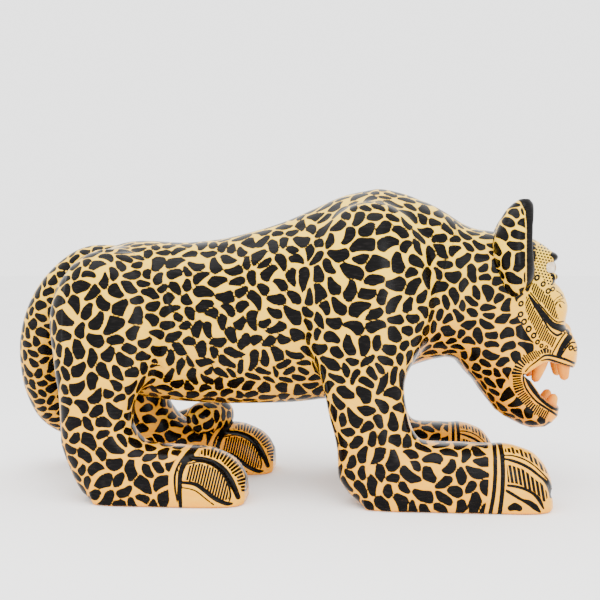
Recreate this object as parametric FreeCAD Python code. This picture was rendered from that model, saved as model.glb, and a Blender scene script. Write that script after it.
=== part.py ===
import FreeCAD, Part
import math
import os

# A carved and lacquered spotted cat, standing on four long paws, mouth open.
# Millimetres, +Z up, +X towards the head, +Y towards the animal's left side.
# The tables below are written in the carver's layout frame; every node is
# moved by SHIFT at the end, so the origin is under the middle of the whole
# figure, on the plane of the four soles.

V = FreeCAD.Vector

# ---------------------------------------------------------------- dimensions
GROUND_Z = 5.0          # height of the sole plane in the layout frame
HOUSING_Y = 40.0        # legs are let into the flanks up to this flat face
HOUSING_Z = 78.0        # the housing face runs from here upwards
NECK_X0 = 97.0          # slanted neck joint: x at the throat end
NECK_Z0 = 117.0         # and its height
NECK_SLOPE = 1.0 / 3.0  # run of the joint per unit of height
LEG_DOWEL_D = 12.0
LEG_DOWEL_IN = 10.0     # inner end, distance from the middle plane
LEG_DOWEL_OUT = 66.0    # outer end, inside the leg
NECK_DOWEL_D = 16.0
NECK_DOWEL_L = 80.0
NECK_DOWEL_APART = 52.0
EAR_DOWEL_D = 6.0
EAR_DOWEL_Z = (180.0, 204.0)
EAR_SEAT_Z = 192.0      # flat foot of each ear, in its mortise
TAIL_DOWEL_D = 12.0
TAIL_DOWEL_X = (-192.0, -142.0)
TAIL_ROOT_X = -166.0
EYE_D = 17.0
EYE_AT = (214.5, 19.0, 202.5)
FANG_PEG_D = 7.0

# torso: x, top, bottom, half width, roundness exponent of the section
TORSO = [
    (-196, 197, 118, 24, 2.2), (-190, 205, 110, 36, 2.2), (-178, 217, 100, 46, 2.3),
    (-160, 224.5, 92, 53, 2.35), (-137, 226.5, 85, 56, 2.4), (-100, 225, 81, 57, 2.4),
    (-71, 228, 80, 57.5, 2.4), (-42, 234.5, 80, 58, 2.4), (-13, 243.5, 81, 59, 2.4),
    (16, 256, 84, 60, 2.4), (45, 267.5, 88, 62, 2.35), (65, 271.5, 92, 62, 2.3),
    (87, 269, 106, 59, 2.3), (102, 264, 116, 56, 2.3), (116, 256, 121.5, 52, 2.3),
    (130, 248, 125, 48.5, 2.3), (150, 238.5, 128, 47, 2.3)]

# head and neck seen from the side: x, top, bottom, half width, exponent, and
# how much the lower half is drawn in towards the jaw
HEAD_SIDE = [
    (80, 270, 104, 60, 2.3, 0.0), (102, 264, 116, 56, 2.3, 0.0), (116, 256, 121.5, 52, 2.3, 0.0),
    (130, 248, 124, 48.5, 2.3, 0.0), (144, 240.5, 112, 47.5, 2.3, 0.10), (158, 236, 96, 47.5, 2.3, 0.25),
    (172, 234, 78, 47, 2.3, 0.35), (186, 232.5, 68, 46, 2.3, 0.40), (198, 230.5, 62.5, 44, 2.3, 0.40),
    (209, 228, 61, 41, 2.3, 0.38), (219, 224, 63, 38, 2.3, 0.33), (229, 219, 65, 34, 2.3, 0.28),
    (238, 214, 66, 29, 2.3, 0.20), (248, 208, 68, 23, 2.2, 0.10)]
# front outline of the face in profile: brow, eye, bridge, nose, lips, chin
FACE = [
    (188, 236), (206, 230), (218, 221), (223.5, 212.5), (220, 207.5), (218.5, 202),
    (221, 196.5), (223.8, 190), (232.5, 181), (236, 170), (236, 160), (234.5, 151), (240, 145),
    (245.5, 131), (244.8, 119), (240, 105), (231, 81), (229, 72), (223, 66), (214, 60)]
# side outline of the open mouth, cut straight through between the cheeks
MOUTH = [
    (192, 111.5), (199, 116), (204, 119.3), (208.4, 121.7), (214, 122.6), (218.4, 121.8),
    (224.3, 119.8), (229.3, 118.2), (236, 116), (262, 106), (262, 72), (232, 80),
    (222.8, 82.9), (218.7, 85.3), (214.5, 88.4), (209.4, 93), (205.1, 99), (200, 105.9)]

# fore leg column: z, rear x, front x, inner |y|, outer |y|, exponent
FORE = [
    (0, 62, 112, 36, 86, 2.5), (6, 56, 114, 35, 87, 2.5), (15, 46, 114, 34, 88, 2.5),
    (28, 37.5, 112, 33.5, 88.5, 2.45), (47, 36.5, 108, 34, 88.5, 2.4), (60, 34.5, 103, 35, 88, 2.4),
    (73, 31, 97, 36, 87, 2.4), (88, 27.5, 93.5, 37, 86, 2.3), (104, 24, 92, 38, 85, 2.3),
    (124, 18, 96, 38, 83.5, 2.3), (137, 13.5, 102, 36, 82.5, 2.2), (160, 9, 110, 30, 80.5, 2.2),
    (185, 12, 113, 26, 77, 2.2), (208, 22, 108, 22, 71, 2.2), (226, 38, 98, 20, 62, 2.1),
    (236, 50, 88, 22, 54, 2.0)]
# fore paw: x, top, half width, exponent; the sole is flat
FORE_PAW = [
    (62, 36, 14, 2.4), (70, 45, 22, 2.5), (80, 52, 27, 2.6), (93, 56.5, 30, 2.6),
    (107, 57.5, 30.5, 2.6), (140, 57, 30.5, 2.6),
    (163, 56.5, 31, 2.5), (171, 57, 31, 2.5), (180, 56, 31, 2.5), (189, 53.5, 30.5, 2.4),
    (197, 50.5, 29, 2.4), (203, 45.5, 26.5, 2.3), (208, 39, 23, 2.2), (212, 30, 15, 2.1)]
# hind leg column and hind paw, same columns
HIND = [
    (0, -170, -112, 36, 86, 2.5), (6, -174, -112, 35, 87, 2.5), (14, -182, -114, 34, 88, 2.5),
    (36, -193, -120, 33.5, 88.5, 2.45), (53, -199, -129, 34, 88, 2.4), (62, -199.5, -135, 34.5, 87, 2.4),
    (72, -200, -139, 35, 86, 2.4), (82, -200.5, -138, 36, 85, 2.4), (97, -202, -134, 37, 84, 2.3),
    (110, -204.5, -127, 37, 83, 2.3), (137, -208, -116, 34, 80, 2.2), (160, -210, -112, 30, 77, 2.2),
    (182, -206, -118, 26, 72, 2.2), (197, -198, -128, 24, 66, 2.1), (208, -188, -140, 24, 57, 2.0)]
HIND_PAW = [
    (-168, 34, 13, 2.4), (-160, 43, 21, 2.5), (-150, 49, 26, 2.6), (-138, 52, 29, 2.6),
    (-120, 52.5, 30.5, 2.6), (-100, 51.5, 30.5, 2.6),
    (-88, 51, 30, 2.5), (-81, 51, 30, 2.5), (-72, 50, 30, 2.5), (-63, 47, 29, 2.4),
    (-54, 43, 27, 2.3), (-46, 36, 23, 2.2), (-40.5, 27, 15, 2.1)]
LEG_Y = 61.0

# ear: z, middle x, half length, |y| of the middle, half width, exponent
EAR = [
    (176, 189, 13, 40, 15, 2.2), (190, 187, 15, 42, 18, 2.2), (207, 184, 17, 44, 20, 2.2),
    (224, 183.5, 17.5, 44, 19.5, 2.2), (238, 185.5, 15.5, 44, 17, 2.2),
    (249, 188, 12.5, 43.5, 13, 2.1), (256, 190.5, 8.5, 43, 9, 2.0), (260, 192, 4, 43, 5, 2.0)]
# hollow of the ear, open to the front
EAR_HOLLOW = [
    (207, 204, 13, 44, 9.5, 2.2), (220, 201, 14.5, 44, 12, 2.2), (236, 201, 14, 44, 10.5, 2.2),
    (247, 203, 11, 43.5, 7, 2.1), (252, 205, 8, 43.5, 4, 2.0)]

# tail centre line and radius: root in the rump, round the far hind leg,
# over the far hind paw
TAIL = [
    (-166, 0, 203, 19.5), (-193, 2, 202, 19.5), (-216, 6, 187, 19.5), (-234, 12, 165, 19.5),
    (-246, 21, 138, 19.5), (-251, 33, 110, 19.5), (-251, 46, 84, 19), (-245, 62, 62, 18.5),
    (-226, 82, 46, 18), (-196, 97, 38, 17.5), (-160, 103, 34, 17.5), (-128, 102, 38, 17.5),
    (-106, 95, 47, 17), (-92, 82, 54, 17), (-87, 66, 57, 16.5), (-92, 51, 57.5, 16.5),
    (-97, 42, 57.5, 15.5)]


# ------------------------------------------------------------------- helpers
def section(points):
    c = Part.BSplineCurve()
    c.interpolate(Points=points, PeriodicFlag=True)
    return Part.Wire([c.toShape()])


def ring(n, count=28):
    out = []
    for i in range(count):
        a = 2.0 * math.pi * (i + 0.5) / count
        c, s = math.cos(a), math.sin(a)
        out.append((math.copysign(abs(c) ** (2.0 / n), c), math.copysign(abs(s) ** (2.0 / n), s)))
    return out


def loft_x(rows):
    """rows: x, middle y, top, bottom, half width, exponent"""
    wires = []
    for x, yc, top, bot, w, n in rows:
        zc, h = (top + bot) / 2.0, (top - bot) / 2.0
        wires.append(section([V(x, yc + w * a, zc + h * b) for a, b in ring(n)]))
    return Part.makeLoft(wires, True, False)


def loft_head(rows):
    """rows as loft_x without the middle y, plus the draw-in of the lower half"""
    wires = []
    for x, top, bot, w, n, k in rows:
        zc, h = (top + bot) / 2.0, (top - bot) / 2.0
        wires.append(section([V(x, w * a * (1.0 - k * max(0.0, -b) ** 1.5), zc + h * b) for a, b in ring(n)]))
    return Part.makeLoft(wires, True, False)


def loft_z(rows):
    """rows: z, rear x, front x, y low, y high, exponent"""
    wires = []
    for z, x0, x1, y0, y1, n in rows:
        xc, hx, yc, hy = (x0 + x1) / 2.0, (x1 - x0) / 2.0, (y0 + y1) / 2.0, abs(y1 - y0) / 2.0
        wires.append(section([V(xc + hx * a, yc + hy * b, z) for a, b in ring(n)]))
    return Part.makeLoft(wires, True, False)


def box(x0, y0, z0, x1, y1, z1):
    return Part.makeBox(x1 - x0, y1 - y0, z1 - z0, V(x0, y0, z0))


def rod(a, b, d):
    return Part.makeCylinder(d / 2.0, (b - a).Length, a, b - a)


def biggest(shape):
    s = max(shape.Solids, key=lambda q: q.Volume)
    return s


def cut(shape, tools):
    for t in tools:
        shape = shape.cut(t)
    return biggest(shape)


def smooth(P, n):
    """points along a Catmull-Rom curve through the rows of P"""
    Q = [[2 * a - b for a, b in zip(P[0], P[1])]] + [list(p) for p in P]
    Q.append([2 * a - b for a, b in zip(P[-1], P[-2])])
    out = []
    for i in range(1, len(Q) - 2):
        for k in range(n):
            t = k / float(n)
            out.append([0.5 * (2 * p1 + (p2 - p0) * t + (2 * p0 - 5 * p1 + 4 * p2 - p3) * t * t
                               + (3 * p1 - p0 - 3 * p2 + p3) * t ** 3)
                        for p0, p1, p2, p3 in zip(Q[i - 1], Q[i], Q[i + 1], Q[i + 2])])
    out.append(list(P[-1]))
    return out


# --------------------------------------------------------------- raw masses
floor_cut = box(-400, -300, -60, 400, 300, GROUND_Z)


def leg(side, column, paw, foot_dx, column_dx, paw_scale, paw_drop):
    rows = []
    for z, x0, x1, yi, yo, n in column:
        w = max(0.0, min(1.0, (z - 30.0) / 90.0))
        d = column_dx * (1.0 - w * w * (3.0 - 2.0 * w))
        rows.append((z, x0 + d, x1 + d, side * yi, side * yo, n))
    body = loft_z(rows)
    start = paw[0][0]
    rows = []
    for x, top, w, n in paw:
        rows.append((start + foot_dx + (x - start) * paw_scale, side * LEG_Y, top - paw_drop, -8.0, w, n))
    foot = loft_x(rows)
    toe_x = rows[-1][0]
    solid = body.fuse(foot)
    solid = solid.cut(box(-400, -HOUSING_Y, HOUSING_Z, 400, HOUSING_Y, 300))
    solid = solid.cut(floor_cut)
    return biggest(solid)


fore_r = leg(-1, FORE, FORE_PAW, 0.0, 0.0, 1.0, 0.0)
fore_l = leg(1, FORE, FORE_PAW, -8.0, -4.0, 0.85, 3.0)
hind_r = leg(-1, HIND, HIND_PAW, 0.0, 0.0, 1.0, 0.0)
hind_l = leg(1, HIND, HIND_PAW, 11.0, 11.0, 1.0, 0.0)

# tail: round sections square to the centre line, domed tip
line = smooth(TAIL, 2)
wires = []
side = V(0, 1, 0)
for i, p in enumerate(line):
    a = line[max(i - 1, 0)]
    b = line[min(i + 1, len(line) - 1)]
    t = V(b[0] - a[0], b[1] - a[1], b[2] - a[2])
    t.normalize()
    side = side - t * side.dot(t)      # carried along the line without twisting
    side.normalize()
    up = side.cross(t)
    c = V(p[0], p[1], p[2])
    wires.append(section([c + side * (p[3] * math.cos(2 * math.pi * k / 16.0))
                          + up * (p[3] * math.sin(2 * math.pi * k / 16.0)) for k in range(16)]))
tail_raw = Part.makeLoft(wires, True, False)
tip = line[-1]
tail_raw = biggest(tail_raw.fuse(Part.makeSphere(tip[3] - 0.05, V(tip[0], tip[1], tip[2]))))

# joint plane of the neck: one half space as a big block
neck_n = V(1, 0, -NECK_SLOPE)
neck_n.normalize()
neck_u = V(NECK_SLOPE, 0, 1)
neck_u.normalize()
neck_c = V(NECK_X0 + (186.0 - NECK_Z0) * NECK_SLOPE, 0, 186.0)
p0 = neck_c - neck_u * 200
p1 = neck_c + neck_u * 200
front_face = Part.Face(Part.makePolygon([V(q.x, -150, q.z) for q in
                                         (p0, p1, p1 + neck_n * 300, p0 + neck_n * 300, p0)]))
front_block = front_face.extrude(V(0, 300, 0))
rear_face = Part.Face(Part.makePolygon([V(q.x, -150, q.z) for q in
                                        (p0, p1, p1 - neck_n * 500, p0 - neck_n * 500, p0)]))
rear_block = rear_face.extrude(V(0, 300, 0))

torso_raw = loft_x([(x, 0.0, t, b, w, n) for x, t, b, w, n in TORSO])
torso_raw = biggest(torso_raw.cut(front_block))

head_raw = biggest(loft_head(HEAD_SIDE).cut(rear_block))
ahead = [(188, 330), (330, 330), (330, 20), (214, 20)]
face_cut = Part.Face(Part.makePolygon([V(x, -120, z) for x, z in FACE + ahead[::-1] + FACE[:1]]))
head_raw = biggest(head_raw.cut(face_cut.extrude(V(0, 240, 0))))
mouth = Part.Face(Part.makePolygon([V(x, -90, z) for x, z in MOUTH + MOUTH[:1]])).extrude(V(0, 180, 0))
head_raw = biggest(head_raw.cut(mouth))
# small rounded nose pad over the upper lip
nose = Part.makeSphere(7.5, V(233.5, 0, 144.5))
head_raw = biggest(head_raw.fuse(nose))


# --------------------------------------------------------- joinery and inlay
def pair(fn):
    return {"right": fn(-1), "left": fn(1)}


leg_dowels = []
for x, z in ((48.0, 134.0), (62.0, 184.0), (-165.0, 122.0), (-165.0, 166.0)):
    for s in (-1, 1):
        leg_dowels.append(rod(V(x, s * LEG_DOWEL_IN, z), V(x, s * LEG_DOWEL_OUT, z), LEG_DOWEL_D))
neck_dowels = []
for k in (-0.5, 0.5):
    c = neck_c + neck_u * (NECK_DOWEL_APART * k)
    neck_dowels.append(rod(c - neck_n * (NECK_DOWEL_L / 2), c + neck_n * (NECK_DOWEL_L / 2), NECK_DOWEL_D))
tail_dowel = rod(V(TAIL_DOWEL_X[0], 0.8, 202), V(TAIL_DOWEL_X[1], 0.8, 202), TAIL_DOWEL_D)


def make_ear(s):
    dx, dz = (7.0, -3.0) if s > 0 else (0.0, 0.0)
    rows = [(z + dz, xc - hx + dx, xc + hx + dx, s * yc - hy, s * yc + hy, n) for z, xc, hx, yc, hy, n in EAR]
    e = loft_z(rows)
    rows = [(z + dz, xc - hx + dx, xc + hx + dx, s * yc - hy, s * yc + hy, n) for z, xc, hx, yc, hy, n in EAR_HOLLOW]
    e = e.cut(loft_z(rows))
    e = e.cut(box(120, -90, 150, 260, 90, EAR_SEAT_Z))
    return biggest(e)


ears = pair(make_ear)
ear_dowels = pair(lambda s: rod(V(187 + (7 if s > 0 else 0), s * 41.0, EAR_DOWEL_Z[0]),
                                V(187 + (7 if s > 0 else 0), s * 41.0, EAR_DOWEL_Z[1]), EAR_DOWEL_D))
eyes = pair(lambda s: Part.makeSphere(EYE_D / 2.0, V(EYE_AT[0], s * EYE_AT[1], EYE_AT[2])))


def tooth(base, tip_at, r0, r1, peg):
    """blunt cone from base to tip with a round peg running back into the jaw"""
    a, b = V(*base), V(*tip_at)
    d = b - a
    d.normalize()
    body = Part.makeCone(r0, r1, (b - a).Length, a, d)
    body = body.fuse(Part.makeSphere(r1 - 0.02, b))
    body = body.fuse(rod(a - d * peg, a + d * 1.0, FANG_PEG_D))
    return biggest(body)


upper_fangs = pair(lambda s: tooth((231.0, s * 17.5, 120.5), (231.6, s * 17.0, 107.5), 6.4, 3.2, 8.0))
upper_backs = pair(lambda s: tooth((210.5, s * 20.0, 123.5), (206.0, s * 19.5, 106.5), 6.8, 3.2, 8.0))
lower_fangs = pair(lambda s: tooth((219.5, s * 15.5, 80.5), (223.6, s * 15.0, 89.3), 6.0, 3.0, 8.0))

# ------------------------------------------------------------- fitted pieces
all_legs = [fore_r, fore_l, hind_r, hind_l]
torso = cut(torso_raw, all_legs + [tail_raw] + leg_dowels + neck_dowels + [tail_dowel])
fore_r2 = cut(fore_r, leg_dowels)
fore_l2 = cut(fore_l, leg_dowels)
hind_r2 = cut(hind_r, leg_dowels)
tail = cut(tail_raw, [tail_dowel])
hind_l2 = cut(hind_l, [tail_raw] + leg_dowels)
hind_r2 = cut(hind_r2, [tail_raw])
inserts = (list(ears.values()) + list(eyes.values()) + list(upper_fangs.values())
           + list(upper_backs.values()) + list(lower_fangs.values()) + list(ear_dowels.values()))
head = cut(head_raw, all_legs + inserts + neck_dowels)
ears = {k: cut(e, [ear_dowels[k]]) for k, e in ears.items()}

nodes = {
    "torso": torso, "head": head,
    "ear_right": ears["right"], "ear_left": ears["left"],
    "eye_right": eyes["right"], "eye_left": eyes["left"],
    "upper_fang_right": upper_fangs["right"], "upper_fang_left": upper_fangs["left"],
    "upper_back_tooth_right": upper_backs["right"], "upper_back_tooth_left": upper_backs["left"],
    "lower_fang_right": lower_fangs["right"], "lower_fang_left": lower_fangs["left"],
    "foreleg_right": fore_r2, "foreleg_left": fore_l2,
    "hind_leg_right": hind_r2, "hind_leg_left": hind_l2,
    "tail": tail, "tail_dowel": tail_dowel,
    "leg_dowels": Part.Compound(leg_dowels), "neck_dowels": Part.Compound(neck_dowels),
    "ear_dowels": Part.Compound(list(ear_dowels.values())),
}

# ------------------------------------------------- origin and final export
SHIFT = V(12.752, -14.414, -GROUND_Z)
os.makedirs("parts", exist_ok=True)
whole = FreeCAD.BoundBox()
for name, shape in nodes.items():
    shape = shape.copy()
    shape.translate(SHIFT)
    shape.exportStep("parts/%s.step" % name)
    bb = shape.optimalBoundingBox(False)
    whole.add(bb)
    print("%-24s solids %d valid %s vol %9.0f  x %7.1f %7.1f  y %7.1f %7.1f  z %6.1f %6.1f" % (
        name, len(shape.Solids), shape.isValid(), shape.Volume,
        bb.XMin, bb.XMax, bb.YMin, bb.YMax, bb.ZMin, bb.ZMax))
print("whole  x %.3f %.3f  y %.3f %.3f  z %.3f %.3f" % (
    whole.XMin, whole.XMax, whole.YMin, whole.YMax, whole.ZMin, whole.ZMax))
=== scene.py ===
import bpy, bmesh, math
import numpy as np
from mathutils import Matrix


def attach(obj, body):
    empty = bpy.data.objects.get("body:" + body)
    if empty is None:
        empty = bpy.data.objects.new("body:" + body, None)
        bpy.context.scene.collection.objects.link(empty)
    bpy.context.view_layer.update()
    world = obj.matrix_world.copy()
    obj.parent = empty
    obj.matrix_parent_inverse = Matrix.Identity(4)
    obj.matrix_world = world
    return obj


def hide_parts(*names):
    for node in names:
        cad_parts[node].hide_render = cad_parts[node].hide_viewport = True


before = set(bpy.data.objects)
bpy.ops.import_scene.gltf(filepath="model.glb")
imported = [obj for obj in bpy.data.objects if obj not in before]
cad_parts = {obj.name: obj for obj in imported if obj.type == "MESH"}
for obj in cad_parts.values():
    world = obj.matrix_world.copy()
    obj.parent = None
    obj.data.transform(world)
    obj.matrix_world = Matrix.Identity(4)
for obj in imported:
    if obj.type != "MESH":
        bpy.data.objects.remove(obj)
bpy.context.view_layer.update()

# Carved and lacquered spotted cat. The surface is one smooth implicit body, worked
# in millimetres in the carver's layout frame and moved by SHIFT into the
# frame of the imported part; it is then cut along the real joints.
SHIFT = np.array([12.752, -14.414, -5.0])
GROUND = 5.0
COARSE = 1.0

# ------------------------------------------------------------ shape tables
TORSO = [(-196,197,118,24,2.2),(-190,205,110,36,2.2),(-178,217,100,46,2.3),(-160,224.5,92,53,2.35),(-137,226.5,85,56,2.4),(-100,225,81,57,2.4),
 (-71,228,80,57.5,2.4),(-42,234.5,80,58,2.4),(-13,243.5,81,59,2.4),(16,256,84,60,2.4),(45,267.5,88,62,2.35),(65,271.5,92,62,2.3),
 (87,269,106,59,2.3),(102,264,116,56,2.3),(116,256,121.5,52,2.3),(130,248,125,48.5,2.3),(150,238.5,128,46.5,2.3)]
FORE = [(-20,62,112,36,86,2.5),(6,56,114,35,87,2.5),(15,46,114,34,88,2.5),(28,37.5,112,33.5,88.5,2.45),(47,36.5,108,34,88.5,2.4),(60,34.5,103,35,88,2.4),
 (73,31,97,36,87,2.4),(88,27.5,93.5,37,86,2.3),(104,24,92,38,85,2.3),(124,18,96,38,83.5,2.3),(137,13.5,102,36,82.5,2.2),(160,9,110,30,80.5,2.2),
 (185,12,113,26,77,2.2),(208,22,108,22,71,2.2),(226,38,98,20,62,2.1),(240,56,82,22,50,2.0)]
FORE_PAW = [(60,50,26,2.6),(90,57,30,2.6),(107,57.5,30.5,2.6),(140,57,31,2.6),(163,56.5,31,2.5),(171,57,31,2.5),(180,56,31,2.5),(189,53.5,30.5,2.4),(197,50.5,29,2.4),(203,45.5,26.5,2.3),(208,39,23,2.2),(212,30,15,2.1)]
HIND = [(-20,-170,-112,36,86,2.5),(6,-174,-112,35,87,2.5),(14,-182,-114,34,88,2.5),(36,-193,-120,33.5,88.5,2.45),(53,-199,-129,34,88,2.4),(62,-199.5,-135,34.5,87,2.4),
 (72,-200,-139,35,86,2.4),(82,-200.5,-138,36,85,2.4),(97,-202,-134,37,84,2.3),(110,-204.5,-127,37,83,2.3),(137,-208,-116,34,80,2.2),(160,-210,-112,30,77,2.2),
 (182,-206,-118,26,72,2.2),(197,-198,-128,24,66,2.1),(208,-188,-140,24,57,2.0),(216,-176,-154,28,46,2.0)]
HIND_PAW = [(-166,46,26,2.6),(-150,52,29,2.6),(-120,52.5,30.5,2.6),(-100,51.5,31,2.6),(-88,51,31,2.5),(-81,51,31,2.5),(-72,50,30.5,2.5),(-63,47,29.5,2.4),(-54,43,27.5,2.3),(-46,36,23.5,2.2),(-40.5,27,15,2.1)]
# name: side, paw shift, column shift, paw length factor, paw drop
LEGS = {"foreleg_right": (-1, 0, 0, 1.0, 0), "foreleg_left": (1, -8, -4, 0.85, 3.0),
        "hind_leg_right": (-1, 0, 0, 1.0, 0), "hind_leg_left": (1, 11, 11, 1.0, 0)}
TAIL = [(-166,0,203,19.5),(-193,2,202,19.5),(-216,6,187,19.5),(-234,12,165,19.5),(-246,21,138,19.5),(-251,33,110,19.5),(-251,46,84,19),
 (-245,62,62,18.5),(-226,82,46,18),(-196,97,38,17.5),(-160,103,34,17.5),(-128,102,38,17.5),(-106,95,47,17),(-92,82,54,17),(-87,66,57,16.5),(-92,51,57.5,16.5),(-97,42,57.5,15.5)]
HEADP = [(90,132),(96,124),(109,125),(120,127),(130,126),(138,120.5),(145,112),(154,102.5),(159,95),(166,86),(173,77),(181,71),(188,67.5),(195,64),(204,61),(216,62),(222.5,66),(228,72),(229.5,81),
 (237,98),(241,112),(244,120),(244.8,127),(244,133),(241,138),(239,142),(239,146.5),(236.5,149),(233.5,152),(234,158),(235.3,165),(235.3,170),(233.8,175),(231.5,181),(228,186),(224.6,189.5),(223.8,193),(222,196.5),(219.8,200),(219.4,203.5),(221.4,207),(224,210.5),(223.8,214),(219.5,218.5),(213.5,223),(207,227),(200,230),(190,232),(172,234),(158,236),(144,240),(130,248),(112,255),(96,250)]
MOUTH = [(192.5,111.5),(199,116),(204,119.3),(208.4,121.7),(214,122.6),(218.4,121.8),(224.3,119.8),(229.3,118.2),(236,116),(262,106),(262,72),(232,80),(222.8,82.9),(218.7,85.3),(214.5,88.4),(209.4,93),(205.1,99),(200,105.9)]
EAR = [(178,183,4,40,9,2.1),(184,184.5,9.5,41,14,2.1),(192,186,13.5,42,18,2.2),(207,184,17,44,20,2.2),(224,183.5,17.5,44,19.5,2.2),(238,185.5,15.5,44,17,2.2),(249,188,12.5,43.5,13,2.1),(256,190.5,8.5,43,9,2.0),(260,192,4,43,5,2.0)]
EAR_HOLLOW = [(198,210,10,44,7,2.2),(207,204,14,44,10.5,2.2),(220,201.5,14.5,44,13,2.2),(236,201.5,14,44,11.5,2.2),(247,203,11,43.5,7.5,2.1),(254,206,8,43.5,3.5,2.0)]


# ------------------------------------------------------- implicit modelling
def pchip(xs, ys, x):
    xs = np.asarray(xs, float); ys = np.asarray(ys, float)
    h = np.diff(xs); d = np.diff(ys) / h
    m = np.zeros_like(ys)
    for i in range(1, len(xs) - 1):
        if d[i-1] * d[i] > 0:
            w1 = 2*h[i] + h[i-1]; w2 = h[i] + 2*h[i-1]
            m[i] = (w1 + w2) / (w1/d[i-1] + w2/d[i])
    m[0] = d[0]; m[-1] = d[-1]
    x = np.clip(x, xs[0], xs[-1])
    i = np.clip(np.searchsorted(xs, x, side="right") - 1, 0, len(xs) - 2)
    t = (x - xs[i]) / h[i]; t2 = t*t; t3 = t2*t
    return ((2*t3 - 3*t2 + 1)*ys[i] + (t3 - 2*t2 + t)*h[i]*m[i] + (-2*t3 + 3*t2)*ys[i+1] + (t3 - t2)*h[i]*m[i+1])


def smin(a, b, k):
    h = np.maximum(k - np.abs(a - b), 0.0) / k
    return np.minimum(a, b) - h*h*h*k*(1/6.0)


def smax(a, b, k):
    return -smin(-a, -b, k)


def step01(t):
    t = np.clip(t, 0, 1)
    return t*t*(3 - 2*t)


class Grid:
    def __init__(s, lo, hi, h):
        s.lo = np.array(lo, float); s.h = float(h)
        s.n = np.ceil((np.array(hi, float) - s.lo)/h).astype(int) + 1
        s.x, s.y, s.z = [(s.lo[a] + h*np.arange(s.n[a])).astype(np.float32) for a in range(3)]

    def sub(s, lo, hi):
        i0 = np.floor((np.array(lo, float) - s.lo)/s.h).astype(int)
        i1 = np.ceil((np.array(hi, float) - s.lo)/s.h).astype(int) + 1
        if (i1 <= 2).any() or (i0 >= s.n - 2).any():
            return None
        i0 = np.clip(i0, 0, s.n - 3); i1 = np.clip(i1, i0 + 3, s.n)
        sl = tuple(slice(a, b) for a, b in zip(i0, i1))
        return sl, s.x[sl[0]][:, None, None], s.y[sl[1]][None, :, None], s.z[sl[2]][None, None, :]

    def full(s, v=60.0):
        return np.full(tuple(s.n), v, np.float32)


def norm_field(f, h):
    g = np.gradient(f, h)
    return (f / np.maximum(np.sqrt(g[0]**2 + g[1]**2 + g[2]**2), 1e-3)).astype(np.float32)


PAD = 30.0


def tube(G, T, axis):
    """sections square to X (axis 0: x, yc, zc, hy, hz, n) or Z (axis 2: z, xc, yc, hx, hy, n)"""
    T = np.array(sorted(T), float)
    o = [1, 2] if axis == 0 else [0, 1]
    lo = np.zeros(3); hi = np.zeros(3)
    lo[axis] = T[0, 0] - PAD; hi[axis] = T[-1, 0] + PAD
    for k, ax in enumerate(o):
        lo[ax] = (T[:, 1+k] - T[:, 3+k]).min() - PAD; hi[ax] = (T[:, 1+k] + T[:, 3+k]).max() + PAD
    F = G.full(); r = G.sub(lo, hi)
    if r is None:
        return F
    sl, *C = r
    s = C[axis]
    c = [pchip(T[:, 0], T[:, k], s.ravel()).reshape(s.shape).astype(np.float32) for k in range(1, 6)]
    a = np.abs((C[o[0]] - c[0])/c[2]) + 1e-6; b = np.abs((C[o[1]] - c[1])/c[3]) + 1e-6
    q = (a**c[4] + b**c[4])**(1.0/c[4])
    d = (q - 1.0)*np.sqrt(c[2]*c[3])
    over = np.maximum(np.maximum(T[0, 0] - s, s - T[-1, 0]), 0)
    d = np.where(over > 0, np.sqrt(np.maximum(d, 0)**2 + over**2), d)
    d = np.maximum(d, -np.minimum(s - T[0, 0], T[-1, 0] - s)).astype(np.float32)
    F[sl] = norm_field(d, G.h)
    return F


def ellipsoid(G, c, r):
    c = np.array(c, float); r = np.array(r, float)
    F = G.full(); q = G.sub(c - r - PAD, c + r + PAD)
    if q is None:
        return F
    sl, X, Y, Z = q
    u, v, w = X - c[0], Y - c[1], Z - c[2]
    k0 = np.sqrt((u/r[0])**2 + (v/r[1])**2 + (w/r[2])**2)
    k1 = np.sqrt((u/r[0]**2)**2 + (v/r[1]**2)**2 + (w/r[2]**2)**2)
    F[sl] = k0*(k0 - 1.0)/np.maximum(k1, 1e-6)
    return F


def catmull(P, n):
    P = np.array(P, float); out = []
    Q = np.vstack([2*P[0] - P[1], P, 2*P[-1] - P[-2]])
    for i in range(1, len(Q) - 2):
        p0, p1, p2, p3 = Q[i-1], Q[i], Q[i+1], Q[i+2]
        for t in np.linspace(0, 1, n, endpoint=False):
            out.append(0.5*((2*p1) + (-p0+p2)*t + (2*p0-5*p1+4*p2-p3)*t*t + (-p0+3*p1-3*p2+p3)*t**3))
    out.append(P[-1])
    return np.array(out)


def path_tube(G, P):
    P = np.array(P, float); F = G.full()
    for a, b in zip(P[:-1], P[1:]):
        m = max(a[3], b[3]) + 14
        r = G.sub(np.minimum(a[:3], b[:3]) - m, np.maximum(a[:3], b[:3]) + m)
        if r is None:
            continue
        sl, X, Y, Z = r
        ab = b[:3] - a[:3]; L2 = max(float(ab@ab), 1e-9)
        t = np.clip(((X-a[0])*ab[0] + (Y-a[1])*ab[1] + (Z-a[2])*ab[2])/L2, 0, 1)
        d = np.sqrt((X-a[0]-t*ab[0])**2 + (Y-a[1]-t*ab[1])**2 + (Z-a[2]-t*ab[2])**2) - (a[3] + (b[3]-a[3])*t)
        F[sl] = np.minimum(F[sl], d)
    return F


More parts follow.
